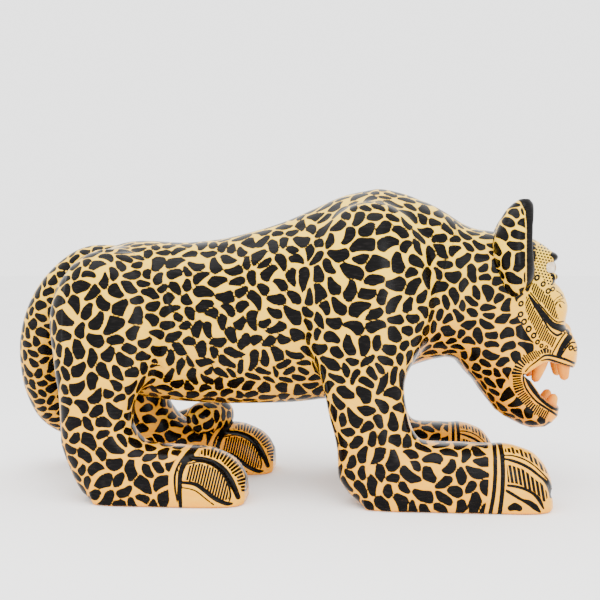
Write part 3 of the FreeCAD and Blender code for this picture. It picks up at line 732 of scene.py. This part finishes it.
def foot_art(V, name, out):
    side, fdx, cdx, k, drp = LEGS[name]
    fore = name[0] == "f"
    x, y, z = V.T
    x0 = (FORE_PAW if fore else HIND_PAW)[0][0]
    xc = x0 + (x - x0 - fdx)/k
    zc = GROUND + (z - GROUND)*(56.0/(56.0 - drp))
    ya = np.abs(y); yy = -np.where(ya > 61, ya, 122 - ya)
    U, W = side_uv(np.stack([xc, yy, zc], 1))
    low = z < 66
    art = np.full(len(V), -9.0); pm = np.full(len(V), -9.0); ph = np.zeros(len(V)); pw = np.full(len(V), 0.3)

    def line(p, w):
        nonlocal art
        q = smooth_line(p, 4)
        ww = w if np.isscalar(w) else np.interp(np.linspace(0, len(w) - 1, len(q)), np.arange(len(w)), w)
        art = np.maximum(art, line_sd(U, W, q, ww)[0]*0.8)

    def strokes(zone, phase, hw):
        nonlocal pm, ph, pw
        m = -poly_sdf(zone, U, W)*0.8
        t = m > pm
        pm = np.where(t, m, pm); ph = np.where(t, phase, ph); pw = np.where(t, hw, pw)
    if fore:
        line([(493.5,440),(495,455),(495.2,475),(493.6,495),(489.8,516)], 2.1)
        line([(499,440),(502,455),(503,475),(502,495),(499.3,516)], 2.3)
        line([(503,455.3),(512,455.6),(522,458.4),(532,464),(541,472),(549,481),(551.5,487)], [0.5,0.9,0.9,0.8,0.8,0.9,0.5])
        line([(504.5,458.8),(512,460.6),(521,463.8),(530,468.6),(537,474),(543,479.2),(547.5,484),(550.3,490),(550.8,497)], [1.0,1.5,1.6,1.6,1.5,1.4,2.1,2.4,1.4])
        line([(508,485.6),(516,486.6),(525,489.2),(533,493.5),(539,499.5),(543.5,508.5)], [1.2,1.5,1.5,1.6,2.2,1.0])
        line([(507,491),(514,495.2),(522,500),(529,502.8),(535,507),(540,512)], [1.6,1.7,1.5,2.8,3.2,1.2])
        line([(510.5,508.2),(515,506.6),(519.5,508.4)], [3.0,4.0,3.0])
        strokes([(506,464),(513,464.5),(522,469),(532,475.5),(541,483),(548,491),(549,499),(544,502),(539,497),(531,490.8),(520,485.5),(507,483)], (U - 0.16*(W - 470))/4.1, 0.37)
        strokes([(504,447.5),(512,447.3),(522,449.8),(531,454),(538,460),(545,468),(548,474),(543,471.5),(535,464),(526,458),(516,454),(504,452.8)], (U - 0.3*(W - 450))/3.9, 0.34)
        ahead = U - np.interp(W, [440,475,495,516], [494,495.5,494,490])
    else:
        line([(197,445),(190,454),(184.5,463),(180.5,474),(179.6,488),(180.5,506)], [3.2,3.6,2.9,2.4,2.3,1.9])
        line([(188,451),(181.5,460),(177,468),(174.6,478),(175.2,490),(177.5,503)], [0.7,1.1,1.2,1.2,1.1,0.6])
        line([(190,460),(188.5,455.5),(192,454.5)], 2.2)
        line([(192,458.4),(204,459.2),(215,463.2),(224.5,471),(232,483),(238,497)], [2.4,2.4,2.8,3.3,3.3,2.6])
        line([(187.5,464.2),(200,461.8),(212,465.4),(221.5,473),(228,484),(230.4,495),(229,501.5)], [0.7,0.8,0.9,0.9,1.0,1.1,0.8])
        line([(182,482.5),(195,484.2),(205,490.8),(215,498.6),(226,503.5),(232,503.6)], [1.4,2.1,2.3,2.4,2.2,1.2])
        line([(182,487.4),(195,490.6),(206,499),(214,505)], 0.75)
        line([(198,447.6),(212,446.6),(226,450.6),(238,460.5),(245.5,474),(248,490)], [0.7,0.8,0.9,1.0,1.2,1.4])
        strokes([(188,464.5),(200,462.6),(213,467),(223,475.5),(229,487),(229.5,499),(226,501.5),(215,496.5),(205,489),(196,482.8),(183.5,481)], (U + 0.24*(W - 480))/2.9, 0.37)
        th = np.arctan2(492 - W, U - 203)
        strokes([(199,455.6),(208,456),(219,460),(229,468.5),(237,480),(242.5,494),(247.5,490),(244.8,475),(238,462.5),(226,452.4),(212,448.6),(200,449)], th*11.5, 0.37)
        strokes([(200,446),(212,445.0),(226,449),(239,459),(246.6,473),(249,489),(256,489),(256,440),(200,436)], th*11.5, 0.34)
        ahead = U - np.interp(W, [445,454,463,474,488,506], [192,186,180,175,174.5,176])
    ahead = np.where(low, ahead, -99)
    zone = ahead*0.8 + 5.0
    out["s"] = np.where(low, np.minimum(out["s"], -zone), out["s"])
    fr = low & (ahead > -7)
    out["art"] = np.where(fr, np.maximum(out["art"], art), out["art"])
    take = fr & (ahead > (2 if fore else -2)) & (pm > out["pm"])
    out["pm"] = np.where(take, pm, out["pm"]); out["ph"] = np.where(take, ph, out["ph"]); out["pw"] = np.where(take, pw, out["pw"])


def normals(ob):
    N = np.empty(len(ob.data.vertices)*3, np.float32)
    ob.data.vertices.foreach_get("normal", N)
    return N.reshape(-1, 3).astype(float)


GC = Grid((-226, -104, -4), (262, 104, 284), 4.0)
FC = body_field(GC)


def outer(V, tol=2.2):
    return np.abs(trilinear(FC, GC, V)) < tol


BODY = ["torso", "foreleg_right", "foreleg_left", "hind_leg_right", "hind_leg_left", "head"]
DATA = {n: (coords(PIECES[n]), normals(PIECES[n])) for n in PIECES}
VA = np.concatenate([DATA[n][0] for n in BODY]); NA = np.concatenate([DATA[n][1] for n in BODY])
ok = outer(VA)
fx = VA[:, 0]; fz = VA[:, 2]
ok &= ~((fz < 60) & (fx > 158) & (fx < 240) & (VA[:, 1] < 0)) & ~((fz < 60) & (fx > 139) & (VA[:, 1] > 0))
ok &= ~((fz < 60) & (fx > -107 + 0.25*fz) & (fx < -20) & (VA[:, 1] < 0)) & ~((fz < 60) & (fx > -96 + 0.25*fz) & (fx < -20) & (VA[:, 1] > 0))
uu, vv = side_uv(np.stack([VA[:, 0], -np.abs(VA[:, 1]), VA[:, 2]], 1))
ok &= ~((fx > 150) & (poly_sdf(FACE_ZONE, uu, vv) < 3.0))
ok &= ~((fx > 190) & (poly_sdf(MOUTH, VA[:, 0], VA[:, 2]) < 2.0)) & (fz > GROUND + 1.0)
SP = {"body": Spots(VA, NA, ok, 11)}
assert len(SP["body"].c) > 200
tv, tn = DATA["tail"]
SP["tail"] = Spots(tv, tn, trilinear(FC, GC, np.clip(tv, GC.lo + 4, GC.lo + (GC.n - 2)*4.0)) > -1.0, 12, 0.92)
for e in ("ear_right", "ear_left"):
    ev, en = DATA[e]
    SP[e] = Spots(ev, en, np.ones(len(ev), bool), 13, 1.22)

for name, ob in PIECES.items():
    V, N = DATA[name]
    key = name if name in SP else "body"
    out = {k: np.full(len(V), v) for k, v in (("s", 0.0), ("art", -9.0), ("ph", 0.0), ("pm", -9.0), ("pw", 0.3), ("dm", -9.0), ("au", 0.0), ("av", 0.0), ("seam", 0.0), ("tone_and_painted_shade", 0.0), ("mouth_bare_painted_shade", 0.0))}
    out["s"] = SP[key].paint(V, N)
    x, y, z = V.T
    if name == "head":
        inner = head_art(V, out)
        out["mouth_bare_painted_shade"] = np.where(inner, 1.0, 0.0)
        n = np.array([1, 0, -1/3.0]); n /= np.linalg.norm(n)
        out["seam"] = np.exp(-np.abs((x - 97)*n[0] + (z - 117)*n[2])/0.55)
    if name.startswith("ear"):
        dx, dz = (7.0, -3.0) if name == "ear_left" else (0.0, 0.0)
        front = np.interp(z - dz, [172, 190, 207, 224, 238, 249, 260], [201, 202, 201, 201, 201, 200.5, 196]) + dx
        out["s"] = smax(np.minimum(out["s"], front - 11.0 - x), x - (front - 10.0), 0.3)
    if "leg" in name:
        foot_art(V, name, out)
        out["s"] = np.where(z < GROUND + 0.6, -5.0, out["s"])
    # painted shade: the ground turns deeper orange lower down, on downward-facing surfaces and on the legs' inner
    # sides, on top of the paint's own cream-to-orange gradient
    inner_side = np.clip((60 - np.abs(y))/30, 0, 1) if "leg" in name else 0
    out["tone_and_painted_shade"] = np.clip(0.85 - (z - 60)/190.0, 0, 1)*0.75 + 0.25*np.clip(-N[:, 2], 0, 1) + 0.3*inner_side
    # painted shade: the lower part of the head is made deeper orange as well
    if name == "head":
        out["tone_and_painted_shade"] = np.clip(out["tone_and_painted_shade"] + 0.35*step01((205 - z)/60), 0, 1)
    for k, v in out.items():
        at = ob.data.attributes.new(k, "FLOAT", "POINT")
        at.data.foreach_set("value", np.asarray(v, np.float32))


# ---------------------------------------------------------- teeth and eyes
def lathe(name, path, radii, seg=28, squash=1.0):
    P = np.array(path, float); V = []; F = []
    T = np.gradient(P, axis=0); T /= np.linalg.norm(T, axis=1)[:, None]
    a = np.cross(T[0], (0, 1, 0.01)); a /= np.linalg.norm(a)
    for i in range(len(P)):
        a = a - (a@T[i])*T[i]; a /= np.linalg.norm(a); b = np.cross(T[i], a)
        for j in range(seg):
            t = 2*math.pi*j/seg
            V.append(P[i] + radii[i]*(math.cos(t)*a + squash*math.sin(t)*b))
    for i in range(len(P) - 1):
        for j in range(seg):
            F.append((i*seg + j, i*seg + (j+1) % seg, (i+1)*seg + (j+1) % seg, (i+1)*seg + j))
    c0 = len(V); V.append(P[0]); V.append(P[-1])
    tri = [(c0, (j+1) % seg, j, j) for j in range(seg)] + [(c0+1, (len(P)-1)*seg + j, (len(P)-1)*seg + (j+1) % seg, 0) for j in range(seg)]
    me = bpy.data.meshes.new(name)
    me.from_pydata([tuple(v) for v in V], [], F + [t[:3] for t in tri]); me.update()
    bm = bmesh.new(); bm.from_mesh(me); bmesh.ops.recalc_face_normals(bm, faces=bm.faces[:]); bm.to_mesh(me); bm.free()
    ob = bpy.data.objects.new(name, me); bpy.context.scene.collection.objects.link(ob)
    return ob


def tooth(name, base, tip, r0, r1, lean):
    base, tip = np.array(base, float), np.array(tip, float)
    n = 16; path = []; rad = []
    ax = tip - base; L = np.linalg.norm(ax)
    for i in range(n + 1):
        t = i/n
        path.append(base + ax*t + np.array([lean, 0, 0])*math.sin(math.pi*t)*0.9)
        r = r0 + (r1 - r0)*t**1.15
        end = max(0.0, (t*L - (L - r1))/r1)
        rad.append(max(r*math.sqrt(max(1 - end*end, 0.0)), 0.25))
    return lathe(name, path, rad, 28, 0.92)


for s, w in ((-1, "right"), (1, "left")):
    PIECES["upper_fang_" + w] = tooth("upper_fang_carving_" + w, (230.6, s*17.5, 124.0), (231.8, s*17, 104.6), 6.9, 3.3, -0.6)
    PIECES["upper_back_tooth_" + w] = tooth("upper_back_tooth_carving_" + w, (210.8, s*20, 124.5), (205.2, s*19.5, 103.2), 7.2, 3.1, 0.6)
    PIECES["lower_fang_" + w] = tooth("lower_fang_carving_" + w, (219.0, s*15.5, 78.5), (224.2, s*15, 92.4), 6.6, 3.2, -0.7)
    path = [(214.5 - 8.5*math.cos(math.pi*t/22), s*19, 202.5) for t in range(23)]
    rad = [max(8.5*math.sin(math.pi*t/22), 0.05) for t in range(23)]
    PIECES["eye_" + w] = lathe("eyeball_" + w, path, rad, 40)


# --------------------------------------------------------------- materials
def new_mat(name):
    m = bpy.data.materials.new(name); m.use_nodes = True
    nt = m.node_tree; nt.nodes.clear()
    return m, nt


class B:
    def __init__(s, nt):
        s.nt = nt; s.x = 0

    def node(s, kind, **kw):
        n = s.nt.nodes.new(kind)
        for k, v in kw.items():
            setattr(n, k, v)
        n.location = (s.x, 0); s.x += 180
        return n

    def put(s, sock, v):
        if hasattr(v, "is_output"):
            s.nt.links.new(v, sock)
        else:
            sock.default_value = v

    def math(s, op, a, b=0.0, c=None, clamp=False):
        n = s.node("ShaderNodeMath", operation=op, use_clamp=clamp)
        s.put(n.inputs[0], a); s.put(n.inputs[1], b)
        if c is not None:
            s.put(n.inputs[2], c)
        return n.outputs[0]

    def attr(s, name):
        return s.node("ShaderNodeAttribute", attribute_type="GEOMETRY", attribute_name=name).outputs["Fac"]

    def ramp(s, v, a, b, o0=0.0, o1=1.0, smooth=True):
        n = s.node("ShaderNodeMapRange", interpolation_type="SMOOTHSTEP" if smooth else "LINEAR", clamp=True)
        s.put(n.inputs[0], v); s.put(n.inputs[1], a); s.put(n.inputs[2], b); s.put(n.inputs[3], o0); s.put(n.inputs[4], o1)
        return n.outputs[0]

    def noise(s, scale, detail=2.0, stretch=(1, 1, 1), rough=0.5):
        tc = s.node("ShaderNodeTexCoord").outputs["Object"]
        mp = s.node("ShaderNodeMapping"); s.put(mp.inputs[0], tc); mp.inputs["Scale"].default_value = stretch
        n = s.node("ShaderNodeTexNoise"); s.put(n.inputs["Vector"], mp.outputs[0])
        n.inputs["Scale"].default_value = scale; n.inputs["Detail"].default_value = detail; n.inputs["Roughness"].default_value = rough
        return n.outputs["Fac"]

    def mix(s, f, a, b):
        n = s.node("ShaderNodeMix", data_type="RGBA")
        s.put(n.inputs[0], f); s.put(n.inputs[6], a); s.put(n.inputs[7], b)
        return n.outputs[2]

    def finish(s, color, rough, bump=None, dist=0.0002, spec=0.35, coat=0.0, strength=0.5):
        p = s.node("ShaderNodeBsdfPrincipled")
        s.put(p.inputs["Base Color"], color); s.put(p.inputs["Roughness"], rough)
        p.inputs["Specular IOR Level"].default_value = spec
        p.inputs["Coat Weight"].default_value = coat; p.inputs["Coat Roughness"].default_value = 0.08
        if bump is not None:
            b = s.node("ShaderNodeBump"); s.put(b.inputs["Height"], bump)
            b.inputs["Strength"].default_value = strength; b.inputs["Distance"].default_value = dist
            s.nt.links.new(b.outputs[0], p.inputs["Normal"])
        o = s.node("ShaderNodeOutputMaterial"); s.nt.links.new(p.outputs[0], o.inputs[0])


def rgb(r, g, b):
    f = lambda c: ((c/255.0 + 0.055)/1.055)**2.4 if c > 10 else c/255.0/12.92
    return (f(r), f(g), f(b), 1.0)


def lacquer():
    m, nt = new_mat("lacquered_paint"); b = B(nt)
    edge = b.math("MULTIPLY", b.math("SUBTRACT", b.noise(300.0, 1.0), 0.5), 0.8)
    s = b.math("ADD", b.attr("s"), edge)
    spot = b.ramp(s, -0.16, 0.16)
    art = b.ramp(b.math("ADD", b.attr("art"), b.math("MULTIPLY", edge, 0.45)), -0.14, 0.14)
    ph = b.attr("ph")
    tri = b.math("ABSOLUTE", b.math("SUBTRACT", b.math("FRACT", ph), 0.5))
    wn = b.node("ShaderNodeTexWhiteNoise", noise_dimensions="1D"); b.put(wn.inputs["W"], b.math("FLOOR", ph))
    pm = b.math("ADD", b.attr("pm"), b.math("MULTIPLY", b.math("SUBTRACT", wn.outputs["Value"], 0.6), 1.6))
    pw = b.attr("pw")
    stroke = b.math("MULTIPLY", b.ramp(b.math("SUBTRACT", pw, tri), -0.04, 0.04), b.ramp(pm, -0.1, 0.25))
    u = b.attr("au"); v = b.attr("av")
    p = b.math("ADD", b.math("MULTIPLY", u, 0.315), b.math("MULTIPLY", v, 0.05))
    q = b.math("ADD", b.math("MULTIPLY", v, 0.345), b.math("MULTIPLY", u, -0.07))
    fu = b.math("SUBTRACT", b.math("FRACT", b.math("ADD", p, b.math("MULTIPLY", b.math("FLOOR", q), 0.5))), 0.5)
    fv = b.math("SUBTRACT", b.math("FRACT", q), 0.5)
    rr = b.math("SQRT", b.math("ADD", b.math("MULTIPLY", fu, fu), b.math("MULTIPLY", fv, fv)))
    dots = b.math("MULTIPLY", b.ramp(rr, 0.40, 0.32), b.ramp(b.attr("dm"), 0.0, 0.7))
    ink = b.math("MAXIMUM", b.math("MAXIMUM", spot, art), b.math("MAXIMUM", stroke, dots))
    mouth_bare_painted_shade = b.attr("mouth_bare_painted_shade")
    ink = b.math("MULTIPLY", ink, b.math("SUBTRACT", 1.0, mouth_bare_painted_shade))
    seam = b.attr("seam")
    # ground: cream on the upper side going to a deeper orange-yellow below, on downward faces and on the legs' inner
    # sides; partly the paint's own gradient, partly painted shade
    g = b.mix(b.attr("tone_and_painted_shade"), (0.92, 0.60, 0.030, 1), (0.90, 0.33, 0.002, 1))
    st = b.noise(60.0, 3.0, (1, 1, 3))
    g = b.mix(b.math("MULTIPLY", b.ramp(st, 0.4, 0.75), 0.45), g, (0.90, 0.52, 0.045, 1))
    g = b.mix(b.math("MULTIPLY", b.ramp(b.noise(260.0, 3.0, (1, 1, 4)), 0.5, 0.8), 0.35), g, (0.74, 0.34, 0.02, 1))
    rim = b.math("MULTIPLY", b.ramp(s, -1.1, -0.1), 0.3)
    g = b.mix(rim, g, (0.55, 0.20, 0.008, 1))
    # painted shade: inside the mouth the ground is darkened to a deep orange, over the mouth's own orange
    g = b.mix(mouth_bare_painted_shade, g, (0.42, 0.11, 0.003, 1))
    g = b.mix(b.math("MULTIPLY", seam, 0.75), g, rgb(70, 45, 25))
    k = b.mix(b.ramp(b.noise(150.0, 4.0, (1, 1, 5)), 0.45, 0.8), (0.0015, 0.0011, 0.001, 1), (0.009, 0.0075, 0.007, 1))
    col = b.mix(ink, g, k)
    h = b.math("ADD", b.math("MULTIPLY", ink, 0.5), b.math("MULTIPLY", b.noise(900.0, 3.0), 0.35))
    h = b.math("SUBTRACT", h, b.math("MULTIPLY", seam, 2.0))
    rough = b.ramp(b.noise(40.0, 2.0), 0.3, 0.7, 0.16, 0.30)
    b.finish(col, rough, h, 0.00018, 0.075, 0.0)
    return m


def tooth_mat():
    m, nt = new_mat("tooth_paint"); b = B(nt)
    n = b.noise(90.0, 4.0, (1, 1, 0.5)); n2 = b.noise(500.0, 3.0, (1, 1, 0.3))
    c = b.mix(b.ramp(n, 0.3, 0.7), (0.90, 0.36, 0.006, 1), (0.78, 0.22, 0.001, 1))
    c = b.mix(b.math("MULTIPLY", b.ramp(n2, 0.5, 0.8), 0.4), c, (0.50, 0.19, 0.035, 1))
    b.finish(c, b.ramp(n, 0.3, 0.7, 0.4, 0.55), n2, 0.00015, 0.3)
    return m


def eye_mat(x, z):
    m, nt = new_mat("eye_paint"); b = B(nt)
    tc = b.node("ShaderNodeTexCoord").outputs["Object"]; sp = b.node("ShaderNodeSeparateXYZ"); b.put(sp.inputs[0], tc)
    ay = b.math("ABSOLUTE", b.math("SUBTRACT", b.math("ABSOLUTE", b.math("ADD", sp.outputs[1], 0.014414)), 0.019))
    px = b.math("SUBTRACT", sp.outputs[0], x); pz = b.math("SUBTRACT", sp.outputs[2], z)
    r = b.math("SQRT", b.math("ADD", b.math("MULTIPLY", ay, ay), b.math("MULTIPLY", pz, pz)))
    front = b.ramp(px, 0.0, 0.002)
    n = b.noise(300.0, 3.0)
    c = b.mix(b.ramp(n, 0.3, 0.7), rgb(226, 212, 192), rgb(205, 186, 160))
    c = b.mix(b.math("MULTIPLY", b.ramp(r, 0.0052, 0.0047), front), c, rgb(206, 150, 60))
    c = b.mix(b.math("MULTIPLY", b.ramp(r, 0.0028, 0.0025), front), c, rgb(18, 13, 12))
    ring = b.math("ABSOLUTE", b.math("SUBTRACT", r, 0.0051))
    c = b.mix(b.math("MULTIPLY", b.ramp(ring, 0.0006, 0.0003), front), c, rgb(24, 18, 16))
    b.finish(c, 0.12, n, 0.00005, 0.5, 0.3)
    return m


def wood_mat():
    m, nt = new_mat("dowel_wood"); b = B(nt)
    n = b.noise(140.0, 6.0, (1, 1, 0.12), 0.6); r = b.noise(900.0, 3.0, (1, 1, 0.1))
    c = b.mix(b.ramp(n, 0.3, 0.7), rgb(214, 178, 128), rgb(176, 132, 84))
    c = b.mix(b.math("MULTIPLY", b.ramp(r, 0.5, 0.8), 0.5), c, rgb(140, 100, 62))
    b.finish(c, b.ramp(n, 0.3, 0.7, 0.55, 0.75), r, 0.0002, 0.3)
    return m


LAC, TOOTH, WOOD = lacquer(), tooth_mat(), wood_mat()
EYE = eye_mat((214.5 + SHIFT[0])/1000, (202.5 + SHIFT[2])/1000)
for name, ob in PIECES.items():
    me = ob.data
    V = (coords(ob) + SHIFT)/1000.0
    me.vertices.foreach_set("co", V.astype(np.float32).ravel()); me.update()
    if not (name.startswith("upper") or name.startswith("lower") or name.startswith("eye")):
        me.shade_smooth(); me.set_sharp_from_angle(angle=math.radians(46))
        mat, slot = LAC, "lacquered_wood"
    else:
        me.shade_smooth()
        mat, slot = (EYE, "painted_eyes") if name.startswith("eye") else (TOOTH, "painted_teeth")
    me.materials.clear(); me.materials.append(mat)
    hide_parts(name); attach(ob, "root")
for n in ("tail_dowel", "leg_dowels", "neck_dowels", "ear_dowels"):
    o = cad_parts[n]
    o.data.materials.clear(); o.data.materials.append(WOOD)

# ------------------------------------------------------------------ studio
def sweep():
    """pale floor with a gentle hollow-free level surface, meshed as a wide disc"""
    V = [(0, 0, 0)]; F = []; R = [0.3, 0.8, 2, 5, 12]; S = 48
    for r in R:
        for j in range(S):
            V.append((r*math.cos(2*math.pi*j/S), r*math.sin(2*math.pi*j/S), 0))
    for j in range(S):
        F.append((0, 1 + j, 1 + (j+1) % S))
    for i in range(len(R) - 1):
        for j in range(S):
            a, c = 1 + i*S, 1 + (i+1)*S
            F.append((a + j, c + j, c + (j+1) % S, a + (j+1) % S))
    me = bpy.data.meshes.new("studio_floor"); me.from_pydata(V, [], F); me.update()
    o = bpy.data.objects.new("studio_floor", me); bpy.context.scene.collection.objects.link(o)
    return o


floor = sweep()
m, nt = new_mat("floor_white"); b = B(nt)
n = b.noise(3.0, 3.0)
b.finish(b.mix(b.ramp(n, 0.3, 0.7), (0.93, 0.93, 0.93, 1), (0.95, 0.95, 0.95, 1)), 0.9, None, 0, 0.0)
floor.data.materials.append(m)

sc = bpy.context.scene
w = bpy.data.worlds.new("studio"); w.use_nodes = True; sc.world = w
w.node_tree.nodes["Background"].inputs[0].default_value = (1.0, 1.0, 1.0, 1.0)
w.node_tree.nodes["Background"].inputs[1].default_value = 2.7


def area(name, loc, aim, size, power, color=(1, 1, 1)):
    l = bpy.data.lights.new(name, "AREA"); l.shape = "RECTANGLE"; l.size, l.size_y = size
    l.energy = power; l.color = color
    o = bpy.data.objects.new(name, l); sc.collection.objects.link(o)
    from mathutils import Vector
    o.location = loc
    o.rotation_euler = (Vector(aim) - Vector(loc)).to_track_quat("-Z", "Y").to_euler()
    return o


area("key_top", (-0.15, -0.35, 1.15), (0, 0, 0.1), (1.3, 0.7), 12.0)
area("strip_front", (0.5, -1.25, 0.5), (0.0, 0, 0.13), (0.22, 1.1), 6.0)

cam = bpy.data.cameras.new("camera"); co = bpy.data.objects.new("camera", cam); sc.collection.objects.link(co)
cam.sensor_width = 36.0; cam.lens = FOC*36.0/600.0; cam.clip_end = 50
from mathutils import Matrix, Vector
co.matrix_world = Matrix(((RIGHT[0], UP[0], -FWD[0], (CAM[0]+SHIFT[0])/1000), (RIGHT[1], UP[1], -FWD[1], (CAM[1]+SHIFT[1])/1000), (RIGHT[2], UP[2], -FWD[2], (CAM[2]+SHIFT[2])/1000), (0, 0, 0, 1)))
sc.camera = co
